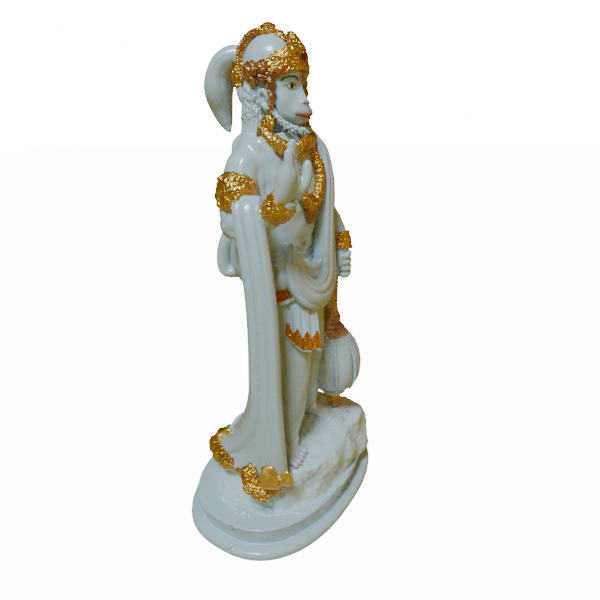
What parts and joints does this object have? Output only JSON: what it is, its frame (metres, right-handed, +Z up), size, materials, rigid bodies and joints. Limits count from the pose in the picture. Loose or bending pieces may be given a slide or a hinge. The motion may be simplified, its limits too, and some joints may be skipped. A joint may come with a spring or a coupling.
{
  "type": "standing monkey deity figurine",
  "caption": "Standing crowned monkey deity with raised right hand, left hand on a round-headed mace and a long scarf, cast in one with its rock and oval plinth.",
  "frame": {"origin": "centre of the plinth's flat underside", "axes": "+Z up, the figure faces -Y, its right hand and the scarf are towards -X"},
  "size_m": [0.154, 0.1096, 0.3002],
  "materials": {
    "painted_casting": "white gloss lacquer with gold, copper, pink and black paint"
  },
  "bodies": {
    "root": {"hanuman_figure": "painted_casting"}
  },
  "joints": []
}
